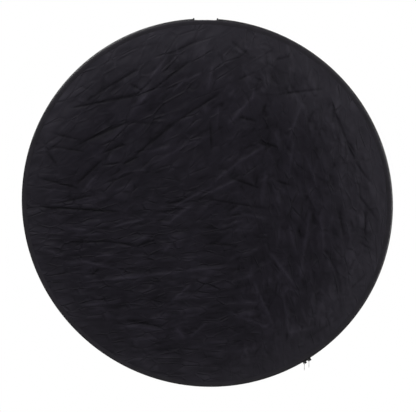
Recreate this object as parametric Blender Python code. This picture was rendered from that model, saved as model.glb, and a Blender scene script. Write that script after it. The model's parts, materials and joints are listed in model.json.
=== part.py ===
"""Collapsible five-in-one reflector disc with a zipped, reversible cover.

The disc stands upright. Its centre is the origin, its axis is Y, +Z is up, and its
black face looks along -Y. Lengths are in metres. A rim angle is in degrees, measured
from +X towards +Z, so it grows counter-clockwise when the black face is looked at.

A spring-steel hoop in a sewn sleeve carries a translucent diffuser. The cover slips
over it: two double-layer faces, each bound at its edge to a zip tape, closed by two
coil rows that run round the rim. The rows leave out a short fabric hinge at the top.
Every ring and sheet is cut at X = 0, where the disc folds face to face, and each half
is a solid of its own.
"""

from itertools import pairwise
from math import cos, radians, sin

import bmesh
import bpy
from mathutils import Vector

# Driving dimensions
RIM_RADIUS = 0.550
HALF_THICKNESS = 0.0066
FABRIC_THICKNESS = 0.0004
RING_STEPS = 96
GRID_ANGLE = 360 / RING_STEPS

# The fold: each half stops short of X = 0, and the axis runs in front of the black face
FOLD_AXIS_Y = -0.008
SEAM_ANGLE = 0.03

# Spring hoop, its crimped ferrule, its sleeve and the diffuser inside it
BAND_OUTER_RADIUS = RIM_RADIUS - 0.0134
BAND_THICKNESS = 0.0008
BAND_HALF_WIDTH = 0.0022
FERRULE_CLEARANCE = 0.00035
FERRULE_WALL = 0.00025
FERRULE_HALF_SLIT = 0.0003
SLEEVE_OUTER_RADIUS = RIM_RADIUS - 0.0121
SLEEVE_SHOULDER_RADIUS = RIM_RADIUS - 0.0165
SLEEVE_INNER_RADIUS = RIM_RADIUS - 0.0230
SLEEVE_HALF_WIDTH = 0.0034
SLEEVE_WALL = 0.00035
SLEEVE_HEM_HALF_GAP = 0.00045
DIFFUSER_RADIUS = RIM_RADIUS - 0.0190
DIFFUSER_THICKNESS = 0.0003

# Cover layers: the side nearer the hoop, then the radius
LINING_Y = 0.0037
LINING_THICKNESS = 0.0003
LINING_RADIUS = RIM_RADIUS - 0.0090
FACE_Y = 0.0044
FACE_RADIUS = RIM_RADIUS - 0.0064
BINDING_THICKNESS = 0.0005
BINDING_INNER_RADIUS = RIM_RADIUS - 0.0190
BINDING_OUTER_RADIUS = RIM_RADIUS - 0.0036

# Zip: each tape lies on the side of the rim and turns over its edge to the coil
TAPE_THICKNESS = 0.0005
TAPE_OUTER_RADIUS = RIM_RADIUS - 0.0029
TAPE_INNER_RADIUS = RIM_RADIUS - 0.0180
TAPE_HALF_WIDTH = 0.0057
COIL_INNER_RADIUS = RIM_RADIUS - 0.0026
COIL_INNER_Y = 0.0009
COIL_OUTER_Y = 0.0032

# Fabric hinge at the top, and the stops that end the zip on either side of it
TOP_ANGLE = 90
HINGE_HALF_ANGLE = 3.2
HINGE_OUTER_RADIUS = RIM_RADIUS - 0.0040
HINGE_THICKNESS = 0.0005
TAPE_END_ANGLE = TOP_ANGLE - 3.35
COIL_END_ANGLE = TOP_ANGLE - 3.88
STOP_START_ANGLE = TOP_ANGLE - 3.82
STOP_END_ANGLE = TOP_ANGLE - 3.40
STOP_OUTER_RADIUS = RIM_RADIUS + 0.0016
STOP_HALF_WIDTH = 0.0034

# Zip sliders: X runs out through the rim, Z along it towards the tail
MEETING_ANGLE = -56.8
SLIDER_LENGTH = 0.0130
SLIDER_HALF_GAP = 0.0004
SLIDER_HALF_WIDTH = 0.0046
SLIDER_CORNER = 0.0016
SLIDER_PLATE = 0.0014
SLIDER_OVERLAP = 0.0002
SLIDER_BOTTOM_RADIUS = RIM_RADIUS - 0.0054
SLIDER_TOP_RADIUS = RIM_RADIUS + 0.0006
FLANGE_THICKNESS = 0.0008
FLANGE_INNER_RADIUS = RIM_RADIUS - 0.0023
POST_HALF_WIDTH = 0.0006
POST_LENGTH = 0.0030
ARCH_HALF_WIDTH = 0.0013
ARCH_HALF_LENGTH = 0.0050
ARCH_HEIGHT = 0.0052
ARCH_THICKNESS = 0.0015
ARCH_OFFSET = 0.0012

# Zip pulls: the cross bar lies in the lower end of its arch, and the tab hangs along -Z
PIVOT_HEIGHT = 0.0025
PIVOT_SLIDE = -0.0023
PULL_LENGTH = 0.0220
PULL_THICKNESS = 0.0012
PULL_BAR_RADIUS = 0.0008
PULL_EYE_HALF_WIDTH = 0.0017
PULL_EYE_LENGTH = 0.0085
PULL_SHOULDER_HALF_WIDTH = 0.0040
PULL_WAIST_HALF_WIDTH = 0.0026
PULL_WAIST_DEPTH = 0.0120
PULL_END_RADIUS = 0.0034
PULL_HOLE_RADIUS = 0.0015
PULL_END_STEPS = 10
ROUND_STEPS = 20

SLIDER_TOP_FACE_RADIUS = SLIDER_TOP_RADIUS + SLIDER_PLATE
PIVOT_RADIUS = SLIDER_TOP_FACE_RADIUS + PIVOT_HEIGHT
SLIDER_NOSE = SLIDER_HALF_GAP
SLIDER_CENTRE = SLIDER_HALF_GAP + SLIDER_LENGTH / 2
ARCH_ALONG = SLIDER_CENTRE + ARCH_OFFSET

SIDES = {"right": 1, "left": -1}
FACINGS = {"front": -1, "back": 1}


def clear_scene():
    for item in list(bpy.data.objects):
        bpy.data.objects.remove(item, do_unlink=True)


def principled(name, colour, roughness, metallic=0.0):
    """A material for one kind of finish."""
    material = bpy.data.materials.new(name)
    material.use_nodes = True
    shader = material.node_tree.nodes["Principled BSDF"]
    shader.inputs["Base Color"].default_value = (*colour, 1.0)
    shader.inputs["Roughness"].default_value = roughness
    shader.inputs["Metallic"].default_value = metallic
    return material


def add_object(name, bm, material, parent=None):
    """Turn a bmesh into a named object whose mesh stays where it was drawn."""
    bmesh.ops.recalc_face_normals(bm, faces=bm.faces[:])
    mesh = bpy.data.meshes.new(name)
    bm.to_mesh(mesh)
    bm.free()
    mesh.materials.append(material)
    mesh.shade_smooth()
    mesh.set_sharp_from_angle(angle=radians(35))
    item = bpy.data.objects.new(name, mesh)
    bpy.context.collection.objects.link(item)
    if parent:
        item.parent = parent
        item.location = -parent.location
    return item


def add_empty(name, location):
    """A parent that marks a joint's axis."""
    empty = bpy.data.objects.new(name, None)
    empty.empty_display_size = 0.02
    empty.location = location
    bpy.context.collection.objects.link(empty)
    return empty


def rim_point(side, radius, y, angle):
    return Vector((side * radius * cos(radians(angle)), y, radius * sin(radians(angle))))


def arc_angles(start, end):
    """The ends of a stretch of rim, and the common grid's angles between them."""
    first = int(start // GRID_ANGLE) + 1
    grid = [step * GRID_ANGLE for step in range(first, first + RING_STEPS)]
    return [start, *(angle for angle in grid if start < angle < end), end]


def extrude_outline(bm, corners, shift):
    """Fill a flat outline and extrude it by a shift."""
    face = bm.faces.new([bm.verts.new(corner) for corner in corners])
    grown = bmesh.ops.extrude_face_region(bm, geom=[face])["geom"]
    moved = [item for item in grown if isinstance(item, bmesh.types.BMVert)]
    bmesh.ops.translate(bm, vec=shift, verts=moved)


def ring_piece(name, side, outline, start, end, material, parent):
    """Sweep a closed outline of (radius, y) points round the disc's axis."""
    bm = bmesh.new()
    rings = [
        [bm.verts.new(rim_point(side, radius, y, angle)) for radius, y in outline]
        for angle in arc_angles(start, end)
    ]
    for near, far in pairwise(rings):
        for corner in range(len(outline)):
            bm.faces.new((near[corner - 1], near[corner], far[corner], far[corner - 1]))
    bm.faces.new(rings[0])
    bm.faces.new(rings[-1])
    return add_object(name, bm, material, parent)


def sheet_piece(name, side, radius, near, far, material, parent):
    """Half of a round sheet, between two heights along Y."""
    bm = bmesh.new()
    angles = arc_angles(SEAM_ANGLE - TOP_ANGLE, TOP_ANGLE - SEAM_ANGLE)
    corners = [rim_point(side, radius, near, angle) for angle in angles]
    extrude_outline(bm, corners, (0, far - near, 0))
    return add_object(name, bm, material, parent)


def rectangle(inner, outer, low, high):
    return [(inner, low), (outer, low), (outer, high), (inner, high)]


def mirrored(half_outline):
    """Close a channel's outline. Each half runs outwards, its outside first."""
    outside, inside = half_outline
    return [
        *((radius, -y) for radius, y in outside),
        *reversed(outside),
        *inside,
        *((radius, -y) for radius, y in reversed(inside)),
    ]


def box(bm, low, high):
    size = Vector(high) - Vector(low)
    made = bmesh.ops.create_cube(bm, size=1.0)["verts"]
    bmesh.ops.scale(bm, vec=size, verts=made)
    bmesh.ops.translate(bm, vec=(Vector(high) + Vector(low)) / 2, verts=made)


def box_object(name, low, high, material):
    bm = bmesh.new()
    box(bm, low, high)
    return add_object(name, bm, material)


def prism(name, corners, shift, material):
    """Extrude a flat outline by a shift."""
    bm = bmesh.new()
    extrude_outline(bm, corners, shift)
    return add_object(name, bm, material)


def cylinder(name, radius, low, high, material):
    """A round bar between two points that differ along one axis."""
    start, end = Vector(low), Vector(high)
    bm = bmesh.new()
    made = bmesh.ops.create_cone(
        bm,
        cap_ends=True,
        segments=ROUND_STEPS,
        radius1=radius,
        radius2=radius,
        depth=(end - start).length,
    )["verts"]
    turn = Vector((0, 0, 1)).rotation_difference(end - start).to_matrix()
    bmesh.ops.rotate(bm, cent=(0, 0, 0), matrix=turn, verts=made)
    bmesh.ops.translate(bm, vec=(start + end) / 2, verts=made)
    return add_object(name, bm, material)


def combine(target, tools, operation):
    """Apply hidden tool shapes to an object."""
    for tool in tools:
        tool.hide_render = True
        tool.display_type = "WIRE"
        tool.parent = target
        step = target.modifiers.new(tool.name, "BOOLEAN")
        step.operation = operation
        step.object = tool


def make_hoop(side_name, side, parent, materials):
    """Spring band in its sewn sleeve, with the diffuser that the sleeve is sewn to."""
    span = (SEAM_ANGLE - TOP_ANGLE, TOP_ANGLE - SEAM_ANGLE)
    band = rectangle(
        BAND_OUTER_RADIUS - BAND_THICKNESS,
        BAND_OUTER_RADIUS,
        -BAND_HALF_WIDTH,
        BAND_HALF_WIDTH,
    )
    ring_piece(f"hoop_band_{side_name}", side, band, *span, materials["steel"], parent)
    inside_half_width = SLEEVE_HALF_WIDTH - SLEEVE_WALL
    sleeve = mirrored(
        (
            [
                (SLEEVE_INNER_RADIUS, SLEEVE_HEM_HALF_GAP + SLEEVE_WALL),
                (SLEEVE_SHOULDER_RADIUS, SLEEVE_HALF_WIDTH),
                (SLEEVE_OUTER_RADIUS, SLEEVE_HALF_WIDTH),
            ],
            [
                (SLEEVE_INNER_RADIUS, SLEEVE_HEM_HALF_GAP),
                (SLEEVE_SHOULDER_RADIUS, inside_half_width),
                (SLEEVE_OUTER_RADIUS - SLEEVE_WALL, inside_half_width),
            ],
        )
    )
    ring_piece(f"hoop_sleeve_{side_name}", side, sleeve, *span, materials["sleeve"], parent)
    sheet_piece(
        f"diffuser_panel_{side_name}",
        side,
        DIFFUSER_RADIUS,
        -DIFFUSER_THICKNESS / 2,
        DIFFUSER_THICKNESS / 2,
        materials["diffuser"],
        parent,
    )


def make_ferrule(parent, materials):
    """The crimped clip that joins the band's two ends, slit along its inner side."""
    inner = BAND_OUTER_RADIUS - BAND_THICKNESS - FERRULE_CLEARANCE
    outer = BAND_OUTER_RADIUS + FERRULE_CLEARANCE
    half_width = BAND_HALF_WIDTH + FERRULE_CLEARANCE
    outline = mirrored(
        (
            [
                (inner - FERRULE_WALL, FERRULE_HALF_SLIT),
                (inner - FERRULE_WALL, half_width + FERRULE_WALL),
                (outer + FERRULE_WALL, half_width + FERRULE_WALL),
            ],
            [
                (inner, FERRULE_HALF_SLIT),
                (inner, half_width),
                (outer, half_width),
            ],
        )
    )
    ring_piece("hoop_ferrule", 1, outline, 0, GRID_ANGLE, materials["steel"], parent)


def make_cover_side(side_name, side, facing_name, facing, parent, materials):
    """One half of one cover face: lining, outer fabric, edge binding, zip tape and coil."""
    full = (SEAM_ANGLE - TOP_ANGLE, TOP_ANGLE - SEAM_ANGLE)
    start = full[0]
    outer_name, lining_name = {
        "front": ("black_face", "silver_lining"),
        "back": ("white_face", "gold_lining"),
    }[facing_name]
    sheet_piece(
        f"{lining_name}_{side_name}",
        side,
        LINING_RADIUS,
        facing * LINING_Y,
        facing * (LINING_Y + LINING_THICKNESS),
        materials[lining_name],
        parent,
    )
    sheet_piece(
        f"{outer_name}_{side_name}",
        side,
        FACE_RADIUS,
        facing * FACE_Y,
        facing * (FACE_Y + FABRIC_THICKNESS),
        materials[outer_name],
        parent,
    )
    binding = rectangle(
        BINDING_INNER_RADIUS,
        BINDING_OUTER_RADIUS,
        facing * (HALF_THICKNESS - BINDING_THICKNESS),
        facing * HALF_THICKNESS,
    )
    ring_piece(
        f"{facing_name}_binding_{side_name}", side, binding, *full, materials["binding"], parent
    )
    tape_y = facing * TAPE_HALF_WIDTH
    tape_under_y = facing * (TAPE_HALF_WIDTH - TAPE_THICKNESS)
    tape_edge_y = facing * COIL_INNER_Y
    tape = [
        (TAPE_INNER_RADIUS, tape_under_y),
        (TAPE_OUTER_RADIUS - TAPE_THICKNESS, tape_under_y),
        (TAPE_OUTER_RADIUS - TAPE_THICKNESS, tape_edge_y),
        (TAPE_OUTER_RADIUS, tape_edge_y),
        (TAPE_OUTER_RADIUS, tape_y),
        (TAPE_INNER_RADIUS, tape_y),
    ]
    ring_piece(
        f"{facing_name}_zip_tape_{side_name}",
        side,
        tape,
        start,
        TAPE_END_ANGLE,
        materials["tape"],
        parent,
    )
    coil = rectangle(
        COIL_INNER_RADIUS, RIM_RADIUS, facing * COIL_INNER_Y, facing * COIL_OUTER_Y
    )
    ring_piece(
        f"{facing_name}_zip_coil_{side_name}",
        side,
        coil,
        start,
        COIL_END_ANGLE,
        materials["coil"],
        parent,
    )


def make_hinge_and_stop(side_name, side, parent, materials):
    """Half of the fabric hinge that joins the two faces at the top, and one zip stop."""
    wall_y = TAPE_HALF_WIDTH - HINGE_THICKNESS
    strip = mirrored(
        (
            [(TAPE_INNER_RADIUS, TAPE_HALF_WIDTH), (HINGE_OUTER_RADIUS, TAPE_HALF_WIDTH)],
            [(TAPE_INNER_RADIUS, wall_y), (HINGE_OUTER_RADIUS - HINGE_THICKNESS, wall_y)],
        )
    )
    ring_piece(
        f"hinge_strip_{side_name}",
        side,
        strip,
        TOP_ANGLE - HINGE_HALF_ANGLE,
        TOP_ANGLE - SEAM_ANGLE,
        materials["binding"],
        parent,
    )
    stop = rectangle(
        COIL_INNER_RADIUS, STOP_OUTER_RADIUS, -STOP_HALF_WIDTH, STOP_HALF_WIDTH
    )
    ring_piece(
        f"zip_stop_{side_name}",
        side,
        stop,
        STOP_START_ANGLE,
        STOP_END_ANGLE,
        materials["coil"],
        parent,
    )


def slider_plate(name, radius, direction, material):
    """A slider's flat plate with its corners cut off, SLIDER_PLATE thick."""
    near, far = SLIDER_NOSE, SLIDER_NOSE + SLIDER_LENGTH
    half_width, corner = SLIDER_HALF_WIDTH, SLIDER_CORNER
    outline = [
        (near, half_width - corner),
        (near + corner, half_width),
        (far - corner, half_width),
        (far, half_width - corner),
        (far, corner - half_width),
        (far - corner, -half_width),
        (near + corner, -half_width),
        (near, corner - half_width),
    ]
    corners = [(radius, y, direction * along) for along, y in outline]
    return prism(name, corners, (SLIDER_PLATE, 0, 0), material)


def slider_box(name, radii, widths, alongs, direction, material):
    """A box of a slider, from its radii, its widths and its places along the rim."""
    ends = sorted(direction * along for along in alongs)
    low = (radii[0], widths[0], ends[0])
    high = (radii[1], widths[1], ends[1])
    return box_object(name, low, high, material)


def make_slider(side_name, direction, parent, material):
    """Two plates on a post, side flanges, and the arch that the pull turns in."""
    name = f"zip_slider_{side_name}"
    body = slider_plate(name, SLIDER_TOP_RADIUS, direction, material)
    tools = [slider_plate(f"{name}_lower_plate", SLIDER_BOTTOM_RADIUS, direction, material)]
    tools.append(
        slider_box(
            f"{name}_post",
            (SLIDER_BOTTOM_RADIUS + SLIDER_OVERLAP, SLIDER_TOP_RADIUS + SLIDER_OVERLAP),
            (-POST_HALF_WIDTH, POST_HALF_WIDTH),
            (SLIDER_NOSE + SLIDER_OVERLAP, SLIDER_NOSE + POST_LENGTH),
            direction,
            material,
        )
    )
    for facing_name, facing in FACINGS.items():
        widths = (facing * SLIDER_HALF_WIDTH, facing * (SLIDER_HALF_WIDTH - FLANGE_THICKNESS))
        tools.append(
            slider_box(
                f"{name}_{facing_name}_flange",
                (FLANGE_INNER_RADIUS, SLIDER_TOP_RADIUS + SLIDER_OVERLAP),
                sorted(widths),
                (SLIDER_NOSE + SLIDER_CORNER, SLIDER_NOSE + SLIDER_LENGTH - SLIDER_CORNER),
                direction,
                material,
            )
        )
    tools.append(slider_arch(f"{name}_arch", direction, material))
    combine(body, tools, "UNION")
    body.parent = parent
    body.rotation_euler.y = -radians(MEETING_ANGLE)
    return body


def slider_arch(name, direction, material):
    """A square arch on the top plate, drawn in side view."""
    foot = SLIDER_TOP_FACE_RADIUS - SLIDER_OVERLAP
    crown = SLIDER_TOP_FACE_RADIUS + ARCH_HEIGHT
    outline = [
        (foot, -ARCH_HALF_LENGTH),
        (crown, -ARCH_HALF_LENGTH),
        (crown, ARCH_HALF_LENGTH),
        (foot, ARCH_HALF_LENGTH),
        (foot, ARCH_HALF_LENGTH - ARCH_THICKNESS),
        (crown - ARCH_THICKNESS, ARCH_HALF_LENGTH - ARCH_THICKNESS),
        (crown - ARCH_THICKNESS, ARCH_THICKNESS - ARCH_HALF_LENGTH),
        (foot, ARCH_THICKNESS - ARCH_HALF_LENGTH),
    ]
    corners = [
        (radius, -ARCH_HALF_WIDTH, direction * (ARCH_ALONG + along)) for radius, along in outline
    ]
    return prism(name, corners, (0, 2 * ARCH_HALF_WIDTH, 0), material)


def pull_outline():
    """A pull tab's edge as (width, depth) points: shoulders, waist and a round end."""
    half = [
        (PULL_SHOULDER_HALF_WIDTH, 0.0),
        (PULL_SHOULDER_HALF_WIDTH, PULL_EYE_LENGTH),
        (PULL_WAIST_HALF_WIDTH, PULL_WAIST_DEPTH),
    ]
    centre = PULL_LENGTH - PULL_END_RADIUS
    for step in range(PULL_END_STEPS):
        turn = radians(90) * step / PULL_END_STEPS
        half.append((PULL_END_RADIUS * cos(turn), centre + PULL_END_RADIUS * sin(turn)))
    return [*half, (0.0, PULL_LENGTH), *((-width, depth) for width, depth in reversed(half))]


def make_pull(side_name, direction, parent, material):
    """A waisted tab with a cross bar above its eye and a small hole near its end."""
    name = f"zip_pull_{side_name}"
    corners = [(-PULL_THICKNESS / 2, width, -depth) for width, depth in pull_outline()]
    pull = prism(name, corners, (PULL_THICKNESS, 0, 0), material)
    eye = box_object(
        f"{name}_eye",
        (-PULL_THICKNESS, -PULL_EYE_HALF_WIDTH, -PULL_EYE_LENGTH),
        (PULL_THICKNESS, PULL_EYE_HALF_WIDTH, PULL_THICKNESS),
        material,
    )
    hole_depth = PULL_END_RADIUS - PULL_LENGTH
    hole = cylinder(
        f"{name}_hole",
        PULL_HOLE_RADIUS,
        (-PULL_THICKNESS, 0, hole_depth),
        (PULL_THICKNESS, 0, hole_depth),
        material,
    )
    combine(pull, [eye, hole], "DIFFERENCE")
    bar = cylinder(
        f"{name}_bar",
        PULL_BAR_RADIUS,
        (0, -PULL_SHOULDER_HALF_WIDTH, 0),
        (0, PULL_SHOULDER_HALF_WIDTH, 0),
        material,
    )
    combine(pull, [bar], "UNION")
    meeting = radians(MEETING_ANGLE)
    outward = Vector((cos(meeting), 0, sin(meeting)))
    along = Vector((-sin(meeting), 0, cos(meeting)))
    pull.parent = parent
    pull.location = PIVOT_RADIUS * outward + (direction * ARCH_ALONG + PIVOT_SLIDE) * along
    return pull


def main():
    clear_scene()
    materials = {
        "black_face": principled("black_fabric", (0.014, 0.013, 0.015), 0.70),
        "silver_lining": principled("silver_fabric", (0.66, 0.67, 0.69), 0.35, 0.9),
        "white_face": principled("white_fabric", (0.86, 0.86, 0.84), 0.75),
        "gold_lining": principled("gold_fabric", (0.82, 0.60, 0.22), 0.35, 0.9),
        "diffuser": principled("diffuser_fabric", (0.88, 0.88, 0.86), 0.65),
        "sleeve": principled("sleeve_fabric", (0.80, 0.80, 0.78), 0.70),
        "binding": principled("binding_tape", (0.012, 0.012, 0.013), 0.55),
        "tape": principled("zip_tape", (0.011, 0.011, 0.012), 0.80),
        "coil": principled("zip_coil", (0.012, 0.012, 0.014), 0.35),
        "steel": principled("spring_steel", (0.52, 0.53, 0.55), 0.32, 1.0),
        "slider": principled("black_lacquered_zinc", (0.010, 0.010, 0.011), 0.35),
        "pull": principled("nickel_plate", (0.66, 0.65, 0.63), 0.22, 1.0),
    }
    fold_axis = add_empty("fold_axis", (0, FOLD_AXIS_Y, 0))
    frames = {"right": None, "left": fold_axis}
    for side_name, side in SIDES.items():
        parent = frames[side_name]
        make_hoop(side_name, side, parent, materials)
        for facing_name, facing in FACINGS.items():
            make_cover_side(side_name, side, facing_name, facing, parent, materials)
        make_hinge_and_stop(side_name, side, parent, materials)
    make_ferrule(None, materials)
    disc_axis = add_empty("disc_axis", (0, 0, 0))
    for side_name, direction in SIDES.items():
        make_slider(side_name, direction, disc_axis, materials["slider"])
        make_pull(side_name, direction, disc_axis, materials["pull"])


main()
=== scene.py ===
"""Looks of a collapsible five-in-one reflector disc, black side out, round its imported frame.

The disc stands upright: its axis is Y, its black face looks along -Y and +Z is up. Lengths
are in metres. A rim angle is in degrees, from +X towards +Z, counter-clockwise from the front.
"""

import json
from math import atan2, cos, pi, radians, sin

import bmesh
import bpy
import numpy as np
from mathutils import Matrix, Vector
from mathutils.kdtree import KDTree


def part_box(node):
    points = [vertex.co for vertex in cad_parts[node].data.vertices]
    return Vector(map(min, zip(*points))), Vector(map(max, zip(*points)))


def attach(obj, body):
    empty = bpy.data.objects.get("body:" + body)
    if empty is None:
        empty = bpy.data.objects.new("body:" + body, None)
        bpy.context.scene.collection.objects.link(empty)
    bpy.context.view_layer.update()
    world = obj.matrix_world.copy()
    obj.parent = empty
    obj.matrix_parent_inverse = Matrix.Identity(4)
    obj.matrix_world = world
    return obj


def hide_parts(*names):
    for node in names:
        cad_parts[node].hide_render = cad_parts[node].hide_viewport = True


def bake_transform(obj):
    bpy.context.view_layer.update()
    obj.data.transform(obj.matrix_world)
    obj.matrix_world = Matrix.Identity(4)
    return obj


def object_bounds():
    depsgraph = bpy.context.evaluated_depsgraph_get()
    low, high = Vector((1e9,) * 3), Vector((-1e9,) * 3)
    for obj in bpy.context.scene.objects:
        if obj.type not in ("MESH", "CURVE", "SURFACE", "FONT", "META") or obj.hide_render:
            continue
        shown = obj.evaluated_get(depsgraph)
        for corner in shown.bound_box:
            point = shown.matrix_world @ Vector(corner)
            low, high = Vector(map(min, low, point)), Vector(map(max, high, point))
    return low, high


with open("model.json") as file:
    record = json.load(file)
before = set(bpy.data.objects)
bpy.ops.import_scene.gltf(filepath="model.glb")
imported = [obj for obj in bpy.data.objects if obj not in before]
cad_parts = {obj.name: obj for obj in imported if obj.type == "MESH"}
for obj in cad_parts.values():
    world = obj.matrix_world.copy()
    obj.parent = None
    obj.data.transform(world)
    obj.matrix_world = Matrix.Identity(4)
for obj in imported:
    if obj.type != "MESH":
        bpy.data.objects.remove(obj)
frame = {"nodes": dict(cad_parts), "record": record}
cad_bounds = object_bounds()

MM = 0.001

# The rim, read from the frame
RIM_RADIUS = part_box("front_zip_coil_right")[1].x
FACE_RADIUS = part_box("black_face_right")[1].x
LINING_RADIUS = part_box("silver_lining_right")[1].x
DIFFUSER_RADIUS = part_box("diffuser_panel_right")[1].x
FACE_Y = -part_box("black_face_right")[0].y
LINING_Y = -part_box("silver_lining_right")[0].y
BAND_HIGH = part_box("hoop_band_right")[1]
JOINTS = {joint["name"]: joint for joint in frame["record"]["behaviour"]["joints"]}

RING_STEPS = 720
FULL_RING = np.arange(RING_STEPS) * 360 / RING_STEPS
TOP_ANGLE = 90.0
HINGE_HALF_ANGLE = 3.38
ZIP_END_ANGLE = 3.42

FACINGS = {"front": -1, "back": 1}
FACE_OF = {"front": "black_face", "back": "white_face"}
LINING_OF = {"front": "silver_lining", "back": "gold_lining"}

# Cloth relief: cells across the disc, the bulge and its limit, the fade at the rim, then slack
# swells, crumpled facets, storage creases and the loose folds between those
CLOTH_CELLS = 312
PLAIN_CELLS = 96
CLOTH_BULGE = 3.6 * MM
RELIEF_LIMIT = 6.4 * MM
RIM_FADE = (0.460, 0.5355)
CLOTH_SEEDS = {"front": 11, "back": 23}
SWELLS = [(0.16, 0.75 * MM, 1.0, 0), (0.055, 0.40 * MM, 2.2, 35)]
FACET_COUNTS = [(0.9, 420), (0.6, 1500)]
FACET_HEIGHT = 1.1 * MM
CREASE_SIZES = [(0.085, 0.7 * MM), (0.050, 0.7 * MM)]
CREST_WIDTH = 0.12
CREST_REACH = 3.6 * MM
GROOVE_REACH = 2.6 * MM
OWN_FOLD_GAIN = 2.8
LOOSE_FOLD_COUNT = 2000
LOOSE_FOLD_REACH = 0.52
LOOSE_FOLD_BOW = 2.5 * MM
LOWER_LEFT_STRETCH = 1.9
LOOSE_FOLD_HALF_LENGTHS = (8 * MM, 26 * MM)
LOOSE_FOLD_HEIGHTS = (0.6, 2.0)
LOOSE_FOLD_SPREAD = 0.42
LOOSE_FOLD_SKIPPED = 0.55

# Cloth material: size and lean in degrees of its ridges and facets at the lower left, the upper
# left and the right, then how they are drawn out and which heights change the tone: painted
# shade in valleys and painted light on crests
CRINKLES = ((0.017, 9), (0.021, 33), (0.018, 100))
FACETS = ((0.023, 7), (0.034, 36), (0.025, 97))
FINE_STRETCH = 2.4
FACET_LIFT = (-0.7, 0.7)
FACET_EDGE = 0.11
FINE_RANGE = (0.2, 1.0)
CREASE_RANGE = (-3.2, 3.2)
# Painted light, lighter cloth towards the upper right rim: the shift of its middle, and the distances where
# it begins and is full
PAINTED_LIGHT_OFFSET = (0.046, 0.0, 0.034)
PAINTED_LIGHT_RANGE = (0.34, 0.66)

# Strip centre lines as (radius - RIM_RADIUS, distance from the middle plane), in millimetres
BINDING_LINE = [
    (-16.0, 5.15), (-13.8, 5.75), (-11.5, 6.25), (-9.0, 6.45), (-7.0, 6.2), (-5.4, 5.75), (-4.5, 5.25),
]
TAPE_LINE = [
    (-13.6, 5.2), (-9.0, 5.4), (-6.5, 5.3), (-5.0, 4.95), (-4.0, 4.35), (-3.4, 3.5), (-3.15, 2.6),
    (-3.15, 0.9),
]
HINGE_LINE = [(-13.6, 5.2), (-9.0, 5.4), (-6.6, 5.2), (-5.2, 4.5), (-4.5, 3.0), (-4.25, 0.0)]
SLEEVE_LINE = [(-23.0, 0.63), (-19.8, 1.8), (-16.5, 3.2), (-14.0, 3.25), (-12.4, 3.1), (-12.27, 0.0)]
BINDING_THICKNESS = 0.50 * MM
TAPE_THICKNESS = 0.45 * MM
SLEEVE_THICKNESS = 0.35 * MM
LINE_STEPS = 4

# Zip coil
COIL_PITCH = 1.60 * MM
COIL_WIRE_RADIUS = 0.39 * MM
COIL_MID_RADIUS = RIM_RADIUS - 1.47 * MM
COIL_HALF_HEIGHT = 1.05 * MM
COIL_HEAD_Y = -0.22 * MM
COIL_ROOT_Y = 2.88 * MM
COIL_POINTS_PER_TURN = 8
COIL_SIDES = 5
COIL_END_ANGLE = 3.86
CORE_RADIUS = 0.70 * MM
CORE_OFFSET = 0.3 * MM

# Stitching: name, depth from the rim, height over the middle plane and slope of the cloth there
STITCH_PITCH = 4.2 * MM
STITCH_LENGTH = 3.2 * MM
STITCH_RADIUS = 0.26 * MM
STITCH_SIDES = 5
STITCH_ROWS = [("inner", -13.0 * MM, 6.15 * MM, -0.22), ("outer", -6.4 * MM, 6.22 * MM, 0.30)]

# The top hinge's hems and the zip's end stops, as angles from the top
STOP_ANGLES = (3.42, 3.80)
HEM_ANGLES = (2.75, 3.40)
HEM_LIFT = 0.55 * MM
STOP_OUTLINE = [
    (RIM_RADIUS - 2.6 * MM, -3.4 * MM), (RIM_RADIUS + 2.0 * MM, -3.4 * MM),
    (RIM_RADIUS + 2.0 * MM, 3.4 * MM), (RIM_RADIUS - 2.6 * MM, 3.4 * MM),
]

# Hoop band
BAND_THICKNESS = 0.8 * MM
BAND_EDGE = 0.15 * MM

# Sliders: sizes along the rim start at the nose; overlaps join shapes that the booleans unite
OVERLAP = 0.2 * MM
SLIDER_NOSE = 0.4 * MM
SLIDER_LENGTH = 13.0 * MM
SLIDER_CLEARANCE = 0.6 * MM
SLIDER_PLATE = 1.4 * MM
SLIDER_HALF_WIDTH = 4.6 * MM
SLIDER_TAIL_HALF_WIDTH = 4.2 * MM
SLIDER_LOWER_HALF_WIDTH = 2.9 * MM
SLIDER_LOWER_RADII = (RIM_RADIUS - 5.4 * MM, RIM_RADIUS - 4.0 * MM)
LIP_RADIUS = RIM_RADIUS - 2.2 * MM
LIP_THICKNESS = 0.8 * MM
POST_HALF_WIDTH = 0.35 * MM
POST_LENGTH = 3.0 * MM
ARCH_OFFSET = 1.2 * MM
ARCH_HEIGHT = 5.4 * MM
ARCH_HALF_LENGTH = 5.0 * MM
ARCH_HALF_WIDTH = 1.3 * MM
ARCH_THICKNESS = 1.5 * MM
ARCH_MIDDLE = SLIDER_NOSE + SLIDER_LENGTH / 2 + ARCH_OFFSET
# How far downhill of the arch's middle the pull's bar rests, and the housing's gap from the bar
PULL_SLIDE = 2.3 * MM
HOUSING_GAP = 1.4 * MM
BOSS_HALF_WIDTH = 1.25 * MM
BOSS_HEIGHT = 1.4 * MM

# Pulls
PULL_LENGTH = 22.0 * MM
PULL_THICKNESS = 1.2 * MM
PULL_BAR = 0.8 * MM
PULL_SHOULDER = 4.0 * MM
PULL_EYE = 1.7 * MM
PULL_EYE_DEPTH = 8.5 * MM
PULL_WAIST = 2.6 * MM
PULL_WAIST_DEPTH = 12.0 * MM
PULL_END = 3.4 * MM
PULL_HOLE = 1.5 * MM
CUT_REACH = 2.0 * MM

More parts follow.
